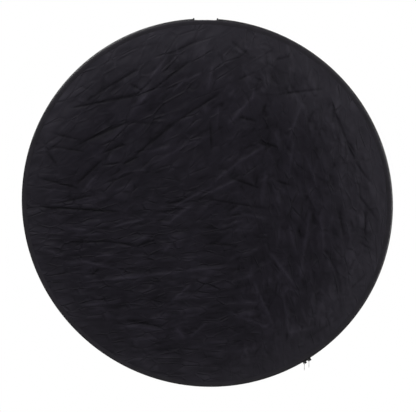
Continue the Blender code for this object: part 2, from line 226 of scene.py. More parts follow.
# Stage
CAMERA_DISTANCE = 6.0
CAMERA_AZIMUTH = 6.0
CAMERA_ELEVATION = 9.5
VIEW_WIDTH = 1.2255
VIEW_SHIFT = (0.0058, -0.0014)
FLOOR_SIZE = 60.0
FLOOR_Z = cad_bounds[0].z - 0.25
ROOM_LIGHT = 0.05
SOFT_LIGHTS = [
    ("left_box", (-1.5, -1.8, 2.5), (0.7, 0.7), 99),
    ("right_box", (2.6, -1.0, 0.5), (0.5, 0.9), 36),
    ("right_edge", (2.4, 0.25, 1.5), (0.3, 1.0), 60),
    ("left_edge", (-2.4, 0.15, 2.2), (0.3, 1.0), 38),
    ("back_box", (-1.0, 3.0, 1.5), (2.0, 2.0), 60),
]

# Folds that the cloth has kept from storage, seen from the front: x, z, x, z of the two ends in
# millimetres, and the height towards the viewer, which OWN_FOLD_GAIN brings to millimetres. A
# negative height is a valley.
STORAGE_FOLDS = [
    # upper left, rising to the right
    (-392, 284, -188, 328, -1.9), (-350, 306, -194, 404, -1.7), (-182, 322, -42, 428, -1.5),
    (-378, 176, -226, 246, -2.0), (-228, 246, -150, 240, -1.0), (-212, 142, -98, 238, -1.6),
    (-98, 238, 44, 336, -1.4), (-244, 118, -196, 144, -1.6), (-384, 56, -306, 132, -1.7),
    (-366, 34, -326, 86, 1.3), (-508, 78, -376, 44, -1.2), (-446, -2, -338, 24, -1.5),
    (-494, 218, -366, 188, -1.0), (-476, 172, -354, 154, -1.0), (-474, 158, -442, 112, -1.2),
    (-284, 444, -126, 480, -1.4), (-116, 442, 4, 498, -1.2), (-174, 152, -104, 177, 1.2),
    (-164, 118, -16, 202, 1.2), (-304, 152, -238, 179, -1.3), (-270, 38, -216, 62, 1.2),
    (-96, 334, -54, 378, 1.2), (-164, 372, -112, 438, 1.3), (-420, 360, -330, 338, -0.9),
    (-226, 360, -180, 334, -1.2), (-290, 62, -214, 96, -1.2), (-268, 448, -262, 392, 1.0),
    # middle, rising to the right
    (-112, -16, 24, 62, 1.6), (84, 124, 176, 180, 1.4), (-12, 28, 96, 80, 1.4),
    (66, 242, 138, 322, 1.4), (136, 312, 142, 346, 1.2), (-112, -56, -38, 4, 1.8),
    (10, 60, 110, 140, 1.0), (-60, 366, -10, 392, 1.0),
    # upper right
    (96, 372, 146, 398, -1.2), (74, 486, 128, 444, -1.4), (166, 480, 200, 466, -1.4),
    (172, 448, 200, 462, -1.2), (202, 432, 276, 450, -1.2), (214, 332, 346, 350, -1.3),
    (98, 264, 150, 252, -1.4), (152, 190, 216, 176, -1.6), (284, 310, 232, 166, 1.3),
    (262, 214, 244, 92, 1.1), (292, 162, 328, 62, 1.4), (366, 312, 414, 196, -1.7),
    (412, 200, 436, 142, -1.3), (438, 136, 494, 66, -1.7), (444, 46, 536, -74, -1.7),
    (74, 84, 160, 54, -1.4), (206, 78, 250, 64, -1.3), (-6, 22, 196, -8, -0.9),
    (22, 420, 8, 340, 1.1), (40, 300, 34, 226, 0.9), (14, 250, 18, 160, -1.1),
    # left and lower left, close to level
    (-504, -12, -256, -23, -2.0), (-408, -118, -282, -112, -1.6), (-288, -112, -196, -126, -1.5),
    (-204, -126, -136, -100, -1.4), (-288, -72, -182, -44, 2.0), (-426, -74, -344, -80, 1.2),
    (-404, -98, -286, -88, 1.0), (-506, -134, -424, -158, 1.3), (-404, -166, -240, -201, 1.3),
    (-340, -162, -262, -148, 1.2), (-368, -238, -246, -222, 1.6), (-252, -223, -72, -200, 1.5),
    (-86, -200, 50, -182, 1.4), (-356, -308, -254, -294, 1.3), (-236, -352, -134, -366, -1.5),
    (-236, -368, -112, -377, 1.3), (-226, -428, -160, -458, -1.2), (-106, -294, -42, -236, 1.5),
    (-94, -278, 36, -274, 1.2), (-46, -396, 6, -350, 1.4), (-88, -366, -60, -404, 1.2),
    (-14, -310, 32, -292, 1.1), (26, -292, 176, -288, 1.1), (-20, -540, 70, -512, 1.3),
    (-344, -224, -314, -190, -1.1), (-130, -150, -96, -106, 1.0), (-420, -10, -300, 20, 0.9),
    # lower right, close to upright
    (188, -132, 270, -240, 2.0), (308, -12, 278, -240, 1.5), (338, -24, 352, -128, 1.3),
    (350, -120, 398, -206, -1.2), (246, -54, 274, -146, 1.3), (228, -244, 250, -378, 1.5),
    (244, -378, 330, -356, 1.3), (144, -222, 204, -360, 1.4), (214, -234, 296, -258, 1.1),
    (70, -318, 196, -366, 1.2), (54, -238, 144, -202, 1.3), (430, -240, 484, -186, -1.7),
    (452, -100, 520, -140, -1.6), (404, -284, 486, -264, 1.2), (296, -398, 424, -312, -1.4),
    (392, -10, 408, -84, -1.3), (468, 4, 472, -104, -1.3), (284, -296, 304, -346, 1.1),
    (168, -404, 184, -456, 1.0), (12, -110, 106, -121, -1.4), (210, -130, 222, -40, 0.9),
    (500, 60, 524, -60, 1.3), (440, -150, 420, -200, -1.1), (100, -20, 180, -36, 1.0),
]


# ---- meshes

def new_object(name, points, faces, material):
    """A smooth mesh piece from its points and faces."""
    mesh = bpy.data.meshes.new(name)
    mesh.from_pydata(np.asarray(points, float).reshape(-1, 3).tolist(), [], faces)
    mesh.materials.append(material)
    mesh.shade_smooth()
    piece = bpy.data.objects.new(name, mesh)
    bpy.context.collection.objects.link(piece)
    return piece


def polar(radius, y, angle):
    """Points at a radius, a height along Y and a rim angle."""
    turn = np.radians(angle)
    return np.stack([radius * np.cos(turn), y + 0 * turn, radius * np.sin(turn)], axis=-1)


def full_turn(count):
    """Angles that share out a full turn, in radians."""
    return 2 * pi * np.arange(count) / count


def unit(vectors):
    """Rows of vectors, each made one long."""
    return vectors / np.linalg.norm(vectors, axis=1)[:, None]


def curve_through(points, steps):
    """A smooth line through the points, with some steps between each two."""
    points = np.array(points, float)
    padded = np.vstack([2 * points[0] - points[1], points, 2 * points[-1] - points[-2]])
    line = []
    for before, start, end, after in zip(padded, padded[1:], padded[2:], padded[3:]):
        for t in np.arange(steps) / steps:
            bend = 2 * before - 5 * start + 4 * end - after
            twist = 3 * start - before - 3 * end + after
            line.append(start + 0.5 * t * ((end - before) + t * (bend + t * twist)))
    return np.array([*line, points[-1]])


def strip_outline(line, thickness, mirror=False):
    """The closed outline of a strip of cloth, from its centre line in a section of the rim."""
    centre = curve_through(np.array(line) * MM, LINE_STEPS)
    if mirror:
        centre = np.vstack([centre, (centre * (1, -1))[-2::-1]])
    run = unit(np.gradient(centre, axis=0))
    side = np.stack([-run[:, 1], run[:, 0]], axis=1) * thickness / 2
    outline = np.vstack([centre + side, (centre - side)[::-1]])
    return outline + (RIM_RADIUS, 0)


def sweep(name, outline, angles, facing, material, closed):
    """Carry an outline of (radius, distance from the middle plane) along the rim."""
    outline = np.asarray(outline, float)
    count, rings = len(outline), len(angles)
    grid = polar(outline[None, :, 0], facing * outline[None, :, 1], np.array(angles)[:, None])
    ring, spot = np.meshgrid(np.arange(rings - (not closed)), np.arange(count), indexing="ij")
    quads = [(ring, spot), (ring, spot + 1), (ring + 1, spot + 1), (ring + 1, spot)]
    corners = [quad.T for quad in np.stack(quads).transpose(2, 3, 0, 1).reshape(-1, 4, 2)]
    if not closed:
        around = np.arange(count)
        corners += [np.stack([0 * around, around]), np.stack([0 * around + rings - 1, around])[:, ::-1]]
    corners = [corner[:, ::-facing] for corner in corners]
    faces = [(rows % rings * count + columns % count).tolist() for rows, columns in corners]
    piece = new_object(name, grid, faces, material)
    mark_strip(piece, outline, angles, np.concatenate(corners, axis=1))
    make_outward(piece)
    piece.data.set_sharp_from_angle(angle=radians(60))
    return piece


def mark_strip(piece, outline, angles, corners):
    """Store how far along the rim and across the strip each face corner lies, for its material."""
    rows, columns = corners
    along = np.radians(np.append(angles, 2 * angles[-1] - angles[-2]))[rows] * RIM_RADIUS
    sides = np.linalg.norm(np.roll(outline, -1, axis=0) - outline, axis=1)
    across = np.append(0, np.cumsum(sides))[columns]
    mark = piece.data.attributes.new("strip", "FLOAT_VECTOR", "CORNER")
    mark.data.foreach_set("vector", np.stack([along, across, 0 * along], axis=1).ravel())


def make_outward(piece):
    """Turn a closed mesh's faces to point out."""
    bm = bmesh.new()
    bm.from_mesh(piece.data)
    bmesh.ops.recalc_face_normals(bm, faces=bm.faces[:])
    bm.to_mesh(piece.data)
    bm.free()


def zipped_arc():
    """The rim angles that the zip covers, from one side of the top hinge round to the other."""
    start, end = TOP_ANGLE + ZIP_END_ANGLE - 360, TOP_ANGLE - ZIP_END_ANGLE
    return np.linspace(start, end, RING_STEPS)


def place(piece, nodes=(), body=None):
    """Give a finished piece its body and the CAD nodes that it stands for."""
    if body:
        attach(piece, body)
    else:
        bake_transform(piece)
    if nodes:
        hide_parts(*nodes)
    return piece


def halves(node):
    return [f"{node}_right", f"{node}_left"]


def strip_piece(name, slot_name, outline, angles, materials, facing=1, closed=True):
    """A strip along the rim, in its slot's material, for both halves of its CAD node."""
    strip = sweep(name, outline, angles, facing, materials[slot_name], closed)
    return place(strip, halves(name))


# ---- cloth

def disc_grid(cells, radius, facing):
    """Points of a square grid drawn out to a disc, as x and z, and faces that look along Y or -Y."""
    side = np.linspace(-1, 1, cells + 1)
    a, b = np.meshgrid(side, side)
    wide = np.abs(a) > np.abs(b)
    reach = np.where(wide, a, b)
    minor = np.where(wide, b, a)
    safe = np.where(reach == 0, 1, reach)
    turn = np.where(wide, pi / 4 * minor / safe, pi / 2 - pi / 4 * minor / safe)
    x, z = radius * reach * np.cos(turn), radius * reach * np.sin(turn)
    row, column = np.meshgrid(np.arange(cells), np.arange(cells), indexing="ij")
    first = row * (cells + 1) + column
    faces = np.stack([first, first + 1, first + cells + 2, first + cells + 1], axis=-1).reshape(-1, 4)
    return x.ravel(), z.ravel(), (faces if facing < 0 else faces[:, ::-1]).tolist()


def add_fold(relief, x, z, fold):
    """One storage fold: a straight crest or a narrower groove that fades towards its ends."""
    x0, z0, x1, z1, height, bow = fold
    reach = CREST_REACH if height > 0 else GROOVE_REACH
    run = np.array([x1 - x0, z1 - z0])
    length = np.hypot(*run)
    run = run / length
    room = length / 2 + 8 * reach
    near = np.flatnonzero((np.abs(x - (x0 + x1) / 2) < room) & (np.abs(z - (z0 + z1) / 2) < room))
    x, z = x[near], z[near]
    along = ((x - x0) * run[0] + (z - z0) * run[1]) / length * 2 - 1
    ends = np.clip(1 - along**2, 0, 1)
    across = (z - z0) * run[0] - (x - x0) * run[1] + bow * ends
    steep = np.where(across * height > 0, 0.7, 1.3) * reach
    relief[near] += height * np.sqrt(ends) * np.exp(-np.abs(across) / steep)


def smooth_noise(x, z, size, rng, stretch=1.0, lean=0.0):
    """Soft lumps of about a size, drawn out along a leaning direction."""
    u = (x * cos(lean) + z * sin(lean)) / (size * stretch)
    v = (z * cos(lean) - x * sin(lean)) / size
    total = np.zeros_like(x)
    for _ in range(14):
        turn, phase = rng.uniform(0, 2 * pi, 2)
        pace = rng.uniform(0.6, 1.4) * 2 * pi
        total += np.sin(pace * (u * cos(turn) + v * sin(turn)) + phase)
    return total / 3.7


def crumple(x, z, cells, rng):
    """Flat facets with creases between them, as thin cloth keeps after being packed."""
    seeds = KDTree(cells)
    for index, seed in enumerate(rng.uniform(-0.56, 0.56, (cells, 2))):
        seeds.insert((seed[0], 0, seed[1]), index)
    seeds.balance()
    relief = np.empty(len(x))
    for index, (point_x, point_z) in enumerate(zip(x.tolist(), z.tolist())):
        nearest, second = seeds.find_n((point_x, 0, point_z), 2)
        relief[index] = second[2] - nearest[2]
    return np.clip(relief * np.sqrt(cells) / 1.12, 0, 1)


def ridges(x, z, size, stretch, lean, rng):
    """Sharp winding crests and valleys that fade in and out, about as far apart as a size."""
    line = smooth_noise(x, z, size, rng, stretch, lean)
    strength = smooth_noise(x, z, 1.8 * size, rng)
    return np.exp(-np.abs(line) / CREST_WIDTH) * np.clip(1.5 * strength, -1.3, 1.3)


def steps_between(value, low, high):
    """A smooth rise from 0 to 1 between two values."""
    t = np.clip((value - low) / (high - low), 0, 1)
    return t * t * (3 - 2 * t)


def small_creases(x, z, rng):
    """The storage creases' finer company: level at the lower left, rising at the upper left, close
    to upright at the right, and spread like a fan below the top hinge."""
    ragged = 0.07 * smooth_noise(x, z, 0.22, rng)
    right = steps_between(x + 0.25 * z + ragged, 0.06, 0.24)
    upper = steps_between(z + 0.15 * x + ragged, -0.04, 0.12) * (1 - right)
    fan = steps_between(z, 0.33, 0.43) * steps_between(0.26 - np.abs(x), 0, 0.1)
    lower = (1 - right) * (1 - upper)
    total = np.zeros_like(x)
    for weight, lean in ((right, 100), (upper, 33), (lower, 9)):
        for size, height in CREASE_SIZES:
            total += (1 - fan) * weight * height * ridges(x, z, size, 2.6, radians(lean), rng)
            total += 0.6 * weight * height * ridges(x, z, size, 2.0, radians(lean + 62), rng)
    reach = np.hypot(x, z)
    gathers = ridges(0.55 * np.arctan2(z, x), 0.25 * reach, 0.022, 1.0, 0.0, rng)
    total += 0.9 * MM * steps_between(reach, 0.44, 0.52) * gathers
    spread = np.arctan2(x - 0.01, 0.60 - z)
    depth = np.hypot(x - 0.01, 0.60 - z)
    total += fan * 1.1 * MM * ridges(0.16 * spread, 0.25 * depth, 0.030, 1.0, 0.0, rng)
    return total


def loose_folds(rng):
    """Small folds spread over the disc, each leaning as the cloth does there."""
    folds = []
    for _ in range(LOOSE_FOLD_COUNT):
        reach, turn = LOOSE_FOLD_REACH * np.sqrt(rng.uniform()), rng.uniform(0, 2 * pi)
        x, z = reach * cos(turn), reach * sin(turn)
        if x < 0.08 and rng.uniform() < LOOSE_FOLD_SKIPPED:
            continue
        stretch = LOWER_LEFT_STRETCH if x < 0.08 and z < 0.02 else 1.0
        lean = storage_lean(x, z) + rng.normal(0, LOOSE_FOLD_SPREAD) / stretch
        half = stretch * rng.uniform(*LOOSE_FOLD_HALF_LENGTHS)
        height = rng.choice([-1, 1]) * rng.uniform(*LOOSE_FOLD_HEIGHTS) * MM
        bow = rng.normal(0, LOOSE_FOLD_BOW)
        dx, dz = half * cos(lean), half * sin(lean)
        folds.append((x - dx, z - dz, x + dx, z + dz, height, bow))
    return folds


def storage_lean(x, z):
    """The way the cloth's small folds run: level at the left, upright at the right."""
    if z > 0.36 and abs(x) < 0.22:
        return atan2(0.56 - z, 0.01 - x)
    if x + 0.06 * sin(23 * z) > 0.15:
        return radians(100)
    if z + 0.05 * sin(19 * x) > 0.03:
        return radians(34)
    return radians(8 + 60 * max(0.0, x + 0.05))


def cloth_relief(x, z, own_folds, seed):
    """How far the cloth stands out of its flat place, and how much of that its creases make."""
    rng = np.random.default_rng(seed)
    height = 0.0
    for size, lift, stretch, lean in SWELLS:
        height += lift * smooth_noise(x, z, size, rng, stretch, radians(lean))
    facets = sum(weight * crumple(x, z, count, rng) for weight, count in FACET_COUNTS)
    height += (facets - facets.mean()) * FACET_HEIGHT
    creases = small_creases(x, z, rng)
    for fold in [*own_folds, *loose_folds(rng)]:
        add_fold(creases, x, z, fold)
    height += creases
    limit = np.where(height > 0, RELIEF_LIMIT, CLOTH_BULGE)
    height = limit * np.tanh(height / limit)
    return height, creases


def cloth_face(facing_name, material, own_folds):
    """One outer face of the cover: a slack disc of cloth, creased from storage."""
    facing = FACINGS[facing_name]
    x, z, faces = disc_grid(CLOTH_CELLS, FACE_RADIUS, facing)
    relief, creases = cloth_relief(x, z, own_folds, CLOTH_SEEDS[facing_name])
    fade = 1 - steps_between(np.hypot(x, z), *RIM_FADE)
    out = FACE_Y + fade * (CLOTH_BULGE + relief)
    name = FACE_OF[facing_name]
    face = new_object(name, np.stack([x, facing * out, z], axis=1), faces, material)
    # The crease heights, for the material's painted shade in valleys and painted light on crests.
    mark = face.data.attributes.new("crease", "FLOAT", "POINT")
    mark.data.foreach_set("value", creases * fade / MM)
    return place(face, halves(name))


def plain_sheet(name, slot_name, radius, y, facing, materials):
    """A flat inner layer."""
    x, z, faces = disc_grid(PLAIN_CELLS, radius, facing)
    sheet = new_object(name, np.stack([x, y + 0 * x, z], axis=1), faces, materials[slot_name])
    place(sheet, halves(name))


# ---- materials

def start_material(name, roughness, metallic=0.0, specular=0.5):
    """A Principled material and its node tree."""
    material = bpy.data.materials.new(name)
    material.use_nodes = True
    tree = material.node_tree
    shader = tree.nodes["Principled BSDF"]
    shader.inputs["Roughness"].default_value = roughness
    shader.inputs["Metallic"].default_value = metallic
    shader.inputs["Specular IOR Level"].default_value = specular
    return material, tree, shader


def feed(node, key, value):
    """Link another node's output to an input, or set the input to a plain value."""
    if isinstance(value, bpy.types.NodeSocket):
        node.id_data.links.new(value, node.inputs[key])
    else:
        node.inputs[key].default_value = value


def add_node(tree, kind, *inputs, **values):
    """A node with its first inputs given in order, and other inputs and properties by name."""
    node = tree.nodes.new(kind)
    for key, value in values.items():
        if key in node.inputs:
            feed(node, key, value)
        else:
            setattr(node, key, value)
    for index, value in enumerate(inputs):
        feed(node, index, value)
    return node


def position(tree):
    return add_node(tree, "ShaderNodeTexCoord").outputs["Object"]


def noise(tree, size, detail=3.0, stretch=(1, 1, 1)):
    """Soft random values with lumps of about a size in metres."""
    mapped = add_node(tree, "ShaderNodeMapping", Vector=position(tree), Scale=stretch).outputs[0]
    return add_node(tree, "ShaderNodeTexNoise", Vector=mapped, Scale=1 / size, Detail=detail).outputs["Fac"]


def ranged(tree, value, low, high, to_low=0.0, to_high=1.0):
    """Spread a value's range over another."""
    return add_node(tree, "ShaderNodeMapRange", value, low, high, to_low, to_high).outputs["Result"]


def mix_colours(tree, factor, low, high):
    """A colour between two, each a colour or another node's output."""
    node = add_node(tree, "ShaderNodeMix", factor, data_type="RGBA")
    for index, colour in ((6, low), (7, high)):
        feed(node, index, (*colour, 1.0) if isinstance(colour, tuple) else colour)
    return node.outputs[2]


def bands(tree, vector, direction, pitch):
    """Parallel threads with a pitch in metres."""
    scale = 2 * pi / 20 / pitch
    node = add_node(tree, "ShaderNodeTexWave", bands_direction=direction, Scale=scale, Vector=vector)
    return node.outputs["Fac"]


def bump(tree, height, distance, strength=1.0, under=None):
    """Raise the surface by a height field, on top of another bump."""
    node = add_node(tree, "ShaderNodeBump", Strength=strength, Distance=distance, Height=height)
    if under:
        feed(node, "Normal", under)
    return node.outputs["Normal"]


def combine_values(tree, operation, first, second):
    return add_node(tree, "ShaderNodeMath", first, second, operation=operation).outputs[0]


def weave(tree, pitch):
    """Warp and weft threads over the disc."""
    warp = bands(tree, position(tree), "X", pitch)
    return combine_values(tree, "MAXIMUM", warp, bands(tree, position(tree), "Z", pitch))


def drawn_out(tree, size, lean):
    """Places for a pattern about as fine as a size, drawn out along a lean in degrees."""
    scale = (FINE_STRETCH * size, size, size)
    node = add_node(tree, "ShaderNodeMapping", vector_type="TEXTURE", Vector=position(tree), Scale=scale)
    feed(node, "Rotation", (0, radians(-lean), 0))
    return node.outputs["Vector"]


def crinkle(tree, size, lean):
    """Sharp little ridges."""
    node = add_node(
        tree, "ShaderNodeTexNoise", noise_type="RIDGED_MULTIFRACTAL", normalize=True,
        Vector=drawn_out(tree, size, lean), Scale=0.7, Detail=3.0, Roughness=0.45,
    )
    return node.outputs["Fac"]


def blend_values(tree, factor, low, high):
    node = add_node(tree, "ShaderNodeMix", data_type="FLOAT")
    for index, value in ((0, factor), (2, low), (3, high)):
        feed(node, index, value)
    return node.outputs[0]


def facets(tree, size, lean):
    """Distance from the straight creases between flat facets, which stand out or lie back."""
    places = drawn_out(tree, size, lean)
    cells = add_node(tree, "ShaderNodeTexVoronoi", feature="DISTANCE_TO_EDGE", Vector=places, Scale=1.0)
    swing = add_node(tree, "ShaderNodeTexNoise", Vector=places, Scale=0.8, Detail=1.0)
    lift = ranged(tree, swing.outputs["Fac"], 0.30, 0.70, *FACET_LIFT)
    edge = ranged(tree, cells.outputs["Distance"], 0.0, FACET_EDGE)
    return combine_values(tree, "MULTIPLY", edge, lift)


def by_region(tree, low_left, high_left, right):
    """Blend three patterns as the storage folds change over the disc."""
    places = add_node(tree, "ShaderNodeSeparateXYZ", position(tree)).outputs
    ragged = ranged(tree, noise(tree, 0.10, 2.0), 0.3, 0.7, -0.11, 0.11)
    upper = ranged(tree, combine_values(tree, "ADD", places["Z"], ragged), -0.04, 0.10)
    rightward = ranged(tree, combine_values(tree, "ADD", places["X"], ragged), 0.06, 0.20)
    left = blend_values(tree, upper, low_left, high_left)
    return blend_values(tree, rightward, left, right)


def wrinkles(tree):
    """The finest creases: level at the lower left, rising at the upper left, upright at the right."""
    ridged = by_region(tree, *[crinkle(tree, *look) for look in CRINKLES])
    folded = by_region(tree, *[facets(tree, *look) for look in FACETS])
    return combine_values(tree, "ADD", ridged, folded)


def rim_distance(tree):
    """From 0 in the cloth's middle to 1 at the upper right rim, where the cloth gets painted light."""
    offset = add_node(tree, "ShaderNodeVectorMath", position(tree), PAINTED_LIGHT_OFFSET, operation="ADD")
    length = add_node(tree, "ShaderNodeVectorMath", offset.outputs["Vector"], operation="LENGTH")
    reach = length.outputs["Value"]
    node = add_node(tree, "ShaderNodeMapRange", reach, *PAINTED_LIGHT_RANGE, interpolation_type="SMOOTHSTEP")
    return node.outputs["Result"]


def cloth_material(
    name, dark, light, roughness, metallic=0.0, weave_pitch=0.6 * MM, specular=0.3, sheen=0.0, painted_rim_light=None,
    fine_height=1.4 * MM, wrinkle_painted_shade=0.10,
):
    """Woven cloth: threads, small rumples, an uneven tone, painted shade in the valleys and painted
    light on the crests of its creases and fine wrinkles, and painted light towards the upper right rim when
    given.
    """
    material, tree, shader = start_material(name, roughness, metallic, specular)
    shader.inputs["Sheen Weight"].default_value = sheen
    shader.inputs["Sheen Roughness"].default_value = 0.35
    crease = add_node(tree, "ShaderNodeAttribute", attribute_name="crease").outputs["Fac"]
    fine = wrinkles(tree)
    # Painted shade in the creases' valleys and painted light on their crests, from their heights.
    painted_crease_shade = ranged(tree, crease, *CREASE_RANGE)
    patch = ranged(tree, noise(tree, 0.12), 0.35, 0.65)
    tone = combine_values(tree, "MULTIPLY", painted_crease_shade, ranged(tree, patch, 0, 1, 0.85, 1.15))
    # Painted shade and painted light on the fine wrinkles, from their height.
    tone = combine_values(tree, "ADD", tone, ranged(tree, fine, *FINE_RANGE, -wrinkle_painted_shade, wrinkle_painted_shade))
    # Painted light: the cloth lighter towards its upper right rim.
    if painted_rim_light:
        near_rim = rim_distance(tree)
        dark = mix_colours(tree, near_rim, dark, painted_rim_light[0])
        light = mix_colours(tree, near_rim, light, painted_rim_light[1])
    feed(shader, "Base Color", mix_colours(tree, tone, dark, light))
    rumple = bump(tree, fine, fine_height)
    feed(shader, "Normal", bump(tree, weave(tree, weave_pitch), 0.06 * MM, 0.4, rumple))
    return material


def strip_vector(tree):
    return add_node(tree, "ShaderNodeAttribute", attribute_name="strip").outputs["Vector"]


def plain_material(name, roughness, specular, size, dark, light):
    """A material with soft patches of two tones; its last value says where the light patches are."""
    material, tree, shader = start_material(name, roughness, specular=specular)
    patch = ranged(tree, noise(tree, size), 0.3, 0.7)
    feed(shader, "Base Color", mix_colours(tree, patch, dark, light))
    return material, tree, shader, patch


def binding_material():
    """Satin ribbon: fine cords across it, puckers and a soft gloss."""
    material, tree, shader, _ = plain_material(
        "binding_tape", 0.55, 0.2, 0.03, (0.0086, 0.0074, 0.0108), (0.0150, 0.0130, 0.0184)
    )
    cords = bands(tree, strip_vector(tree), "X", 0.8 * MM)
    pucker = bump(tree, noise(tree, 0.006, 4.0), 0.6 * MM, 0.5)
    feed(shader, "Normal", bump(tree, cords, 0.08 * MM, 0.5, pucker))
    shader.inputs["Sheen Weight"].default_value = 0.12
    return material


def tape_material():
    """Knitted zip tape: a herringbone of fine loops, matt."""
    material, tree, shader, _ = plain_material(
        "zip_tape", 0.72, 0.3, 0.02, (0.0056, 0.0048, 0.0068), (0.0092, 0.0080, 0.0110)
    )
    strip = strip_vector(tree)
    across = bands(tree, strip, "DIAGONAL", 0.9 * MM)
    loops = combine_values(tree, "MULTIPLY", across, bands(tree, strip, "Y", 0.7 * MM))
    feed(shader, "Normal", bump(tree, loops, 0.12 * MM, 0.6))
    return material


def coil_material():
    """Black nylon monofilament, slightly clouded."""
    material, tree, shader, patch = plain_material(
        "zip_coil", 0.36, 0.4, 0.004, (0.006, 0.006, 0.007), (0.013, 0.013, 0.015)
    )
    feed(shader, "Roughness", ranged(tree, patch, 0, 1, 0.30, 0.46))
    return material


def thread_material():
    """Twisted sewing thread."""
    material, tree, shader, patch = plain_material(
        "black_thread", 0.60, 0.2, 0.001, (0.006, 0.006, 0.007), (0.012, 0.012, 0.013)
    )
    feed(shader, "Normal", bump(tree, patch, 0.1 * MM, 0.5))
    return material


def lacquer_material():
    """Black lacquer on cast zinc, rubbed thin in specks."""
    material, tree, shader = start_material("black_lacquer", 0.28, specular=0.5)
    specks = ranged(tree, noise(tree, 0.0016, 8.0), 0.66, 0.70)
    colour = mix_colours(tree, specks, (0.008, 0.008, 0.009), (0.16, 0.155, 0.15))
    feed(shader, "Base Color", colour)
    feed(shader, "Roughness", ranged(tree, noise(tree, 0.004), 0.3, 0.7, 0.22, 0.4))
    feed(shader, "Normal", bump(tree, noise(tree, 0.0012, 2.0), 0.05 * MM, 0.4))
    return material


def metal_material(name, dark, light, roughness, brush):
    """Plated or bare metal with fine scratches drawn out along one axis."""
    material, tree, shader = start_material(name, roughness, metallic=1.0)
    scratches = noise(tree, 0.0006, 4.0, brush)
    patch = ranged(tree, noise(tree, 0.006), 0.3, 0.7)
    feed(shader, "Base Color", mix_colours(tree, patch, dark, light))
    feed(shader, "Roughness", ranged(tree, scratches, 0.3, 0.7, roughness - 0.07, roughness + 0.10))
    feed(shader, "Normal", bump(tree, scratches, 0.03 * MM, 0.4))
    return material


def make_materials():
    """All the materials, by name."""
    cloths = {
        "white_fabric": ((0.70, 0.70, 0.69), (0.88, 0.88, 0.86), 0.70),
        "silver_fabric": ((0.52, 0.53, 0.55), (0.72, 0.73, 0.75), 0.32, 0.9),
        "gold_fabric": ((0.72, 0.50, 0.17), (0.88, 0.66, 0.27), 0.34, 0.9),
        "diffuser_fabric": ((0.80, 0.80, 0.79), (0.90, 0.90, 0.88), 0.60),
        "sleeve_fabric": ((0.70, 0.70, 0.68), (0.84, 0.84, 0.82), 0.70, 0.0, 0.9 * MM),
    }
    metals = {
        "nickel_plate": ((0.50, 0.49, 0.48), (0.66, 0.65, 0.63), 0.24, (1, 1, 0.08)),
        "spring_steel": ((0.36, 0.37, 0.40), (0.55, 0.56, 0.58), 0.34, (0.1, 1, 0.1)),
    }
    materials = {name: cloth_material(name, *look) for name, look in cloths.items()}
    materials.update((name, metal_material(name, *look)) for name, look in metals.items())
    # Dark cloth with painted light towards its upper right rim, and painted shade and light on its fine
    # wrinkles.
    materials["black_fabric"] = cloth_material(
        "black_fabric", (0.0034, 0.0028, 0.0048), (0.0205, 0.0180, 0.0262), 0.68,
        specular=0.10, sheen=0.04, painted_rim_light=((0.012, 0.011, 0.015), (0.046, 0.043, 0.053)),
        fine_height=4.0 * MM, wrinkle_painted_shade=0.17,
    )
    materials["binding_tape"] = binding_material()
    materials["zip_tape"] = tape_material()
    materials["zip_coil"] = coil_material()
    materials["black_thread"] = thread_material()
    materials["black_lacquer"] = lacquer_material()
    return materials


# ---- rim pieces

def tube_faces(start, rings, sides):
    """The walls and end caps of a tube whose rings of points begin at an index."""
    ring, spot = np.meshgrid(start + sides * np.arange(rings - 1), np.arange(sides), indexing="ij")
    beside = (spot + 1) % sides
    walls = np.stack([ring + spot, ring + beside, ring + sides + beside, ring + sides + spot], axis=-1)
    last = start + (rings - 1) * sides
    caps = [list(range(start, start + sides))[::-1], list(range(last, last + sides))]
    return walls.reshape(-1, 4).tolist() + caps


def make_coil(facing_name, material):
    """One row of the zip: a nylon wire wound flat, its heads meeting the other row's."""
    facing = FACINGS[facing_name]
    arc = radians(360 - 2 * COIL_END_ANGLE)
    turns = int(arc * RIM_RADIUS / COIL_PITCH)
    t = np.arange(turns * COIL_POINTS_PER_TURN + 1) / COIL_POINTS_PER_TURN
    winding = 2 * pi * t
    lag = 0.5 if facing > 0 else 0.0
    along = radians(TOP_ANGLE + COIL_END_ANGLE) + (t + lag) / (turns + 0.5) * arc
    radius = COIL_MID_RADIUS + COIL_HALF_HEIGHT * np.sin(winding)
    out = (COIL_HEAD_Y + COIL_ROOT_Y) / 2 + (COIL_ROOT_Y - COIL_HEAD_Y) / 2 * np.cos(winding)
    centre = polar(radius, facing * out, np.degrees(along))
    run = unit(np.gradient(centre, axis=0))
    away = polar(np.sin(winding), facing * np.cos(winding), np.degrees(along))
    side = unit(np.cross(run, away))
    away = np.cross(side, run)
    turn = full_turn(COIL_SIDES)
    ring = away[:, None] * np.cos(turn)[None, :, None] + side[:, None] * np.sin(turn)[None, :, None]
    points = centre[:, None] + COIL_WIRE_RADIUS * ring
    name = f"{facing_name}_zip_coil"
    coil = new_object(name, points, tube_faces(0, len(t), COIL_SIDES), material)
    return place(coil, halves(name))


def make_core(facing_name, material):
    """The cord that the coil is wound round."""
    middle = (COIL_MID_RADIUS, (COIL_HEAD_Y + COIL_ROOT_Y) / 2 + CORE_OFFSET)
    outline = middle + CORE_RADIUS * np.stack([np.cos(full_turn(8)), np.sin(full_turn(8))], axis=1)
    name = f"{facing_name}_zip_core"
    core = sweep(name, outline, zipped_arc(), FACINGS[facing_name], material, closed=False)
    return place(core)


